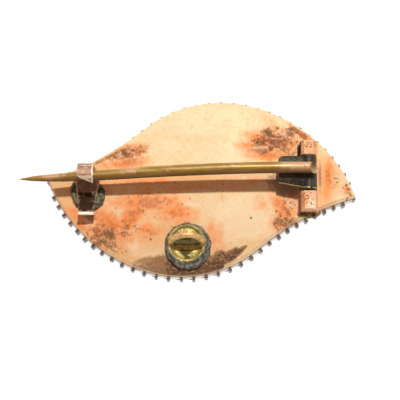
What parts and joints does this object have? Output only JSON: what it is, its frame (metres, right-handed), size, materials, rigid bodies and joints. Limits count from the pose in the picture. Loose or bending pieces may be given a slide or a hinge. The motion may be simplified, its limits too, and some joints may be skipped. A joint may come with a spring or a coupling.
{
  "type": "eye miniature brooch",
  "caption": "Eye-shaped gold brooch with a claw-set stone border, a glazed painted eye, and a hinged pin with a catch and chain loop on its back.",
  "frame": {"origin": "on the surface that the brooch lies on face down, under the middle of its box", "axes": "+X towards the hinge end, +Y towards the upper lid, +Z out of the back"},
  "size_m": [0.035, 0.0194, 0.0068],
  "materials": {
    "rose_gold": "worn polished rose gold with copper-coloured stains",
    "silver": "tarnished silver",
    "stones": "cut and polished",
    "crystal": "polished crystal",
    "painted_plaque": "ivory-coloured plaque with a painted eye",
    "stem_brass": "dull tarnished brass"
  },
  "bodies": {
    "brooch": {"case": "rose_gold", "claw_border": "silver", "border_stones": "stones", "glass_cover": "crystal", "eye_miniature": "painted_plaque", "hinge_rivet": "stem_brass"},
    "pin": {"pin_stem": "stem_brass"}
  },
  "joints": [
    {"name": "pin_hinge", "type": "hinge", "parent": "brooch", "child": "pin", "pos_m": [0.01229, 0.00088, 0.0047], "axis": [0, 1, 0], "range_deg": [0, 76]}
  ]
}
